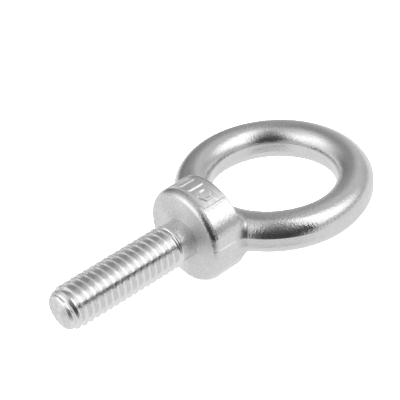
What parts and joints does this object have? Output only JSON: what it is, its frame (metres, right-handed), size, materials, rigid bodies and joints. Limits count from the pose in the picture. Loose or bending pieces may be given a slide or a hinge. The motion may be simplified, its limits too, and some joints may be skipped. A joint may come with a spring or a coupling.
{
  "type": "eye bolt",
  "caption": "Shoulder eye bolt: a round lifting eye on a drum collar, with a short plain neck and a coarse-threaded shank ending in a chamfered tip.",
  "frame": {"origin": "centre of the collar's seat face, on the shank's axis", "axes": "+X from the seat along the bolt's axis towards the eye, so the shank points to -X; +Z through the eye's opening, with the bolt lying flat; +Y across the eye"},
  "size_m": [0.0793, 0.043, 0.0212],
  "materials": {
    "polished_steel": "satin polish with a fine orange-peel grain",
    "machined_steel": "rolled thread, bright and slightly uneven"
  },
  "bodies": {
    "root": {"eye_ring": "polished_steel", "eye_root": "polished_steel", "collar": "polished_steel", "shank_neck": "machined_steel", "threaded_shank": "machined_steel"}
  },
  "joints": []
}
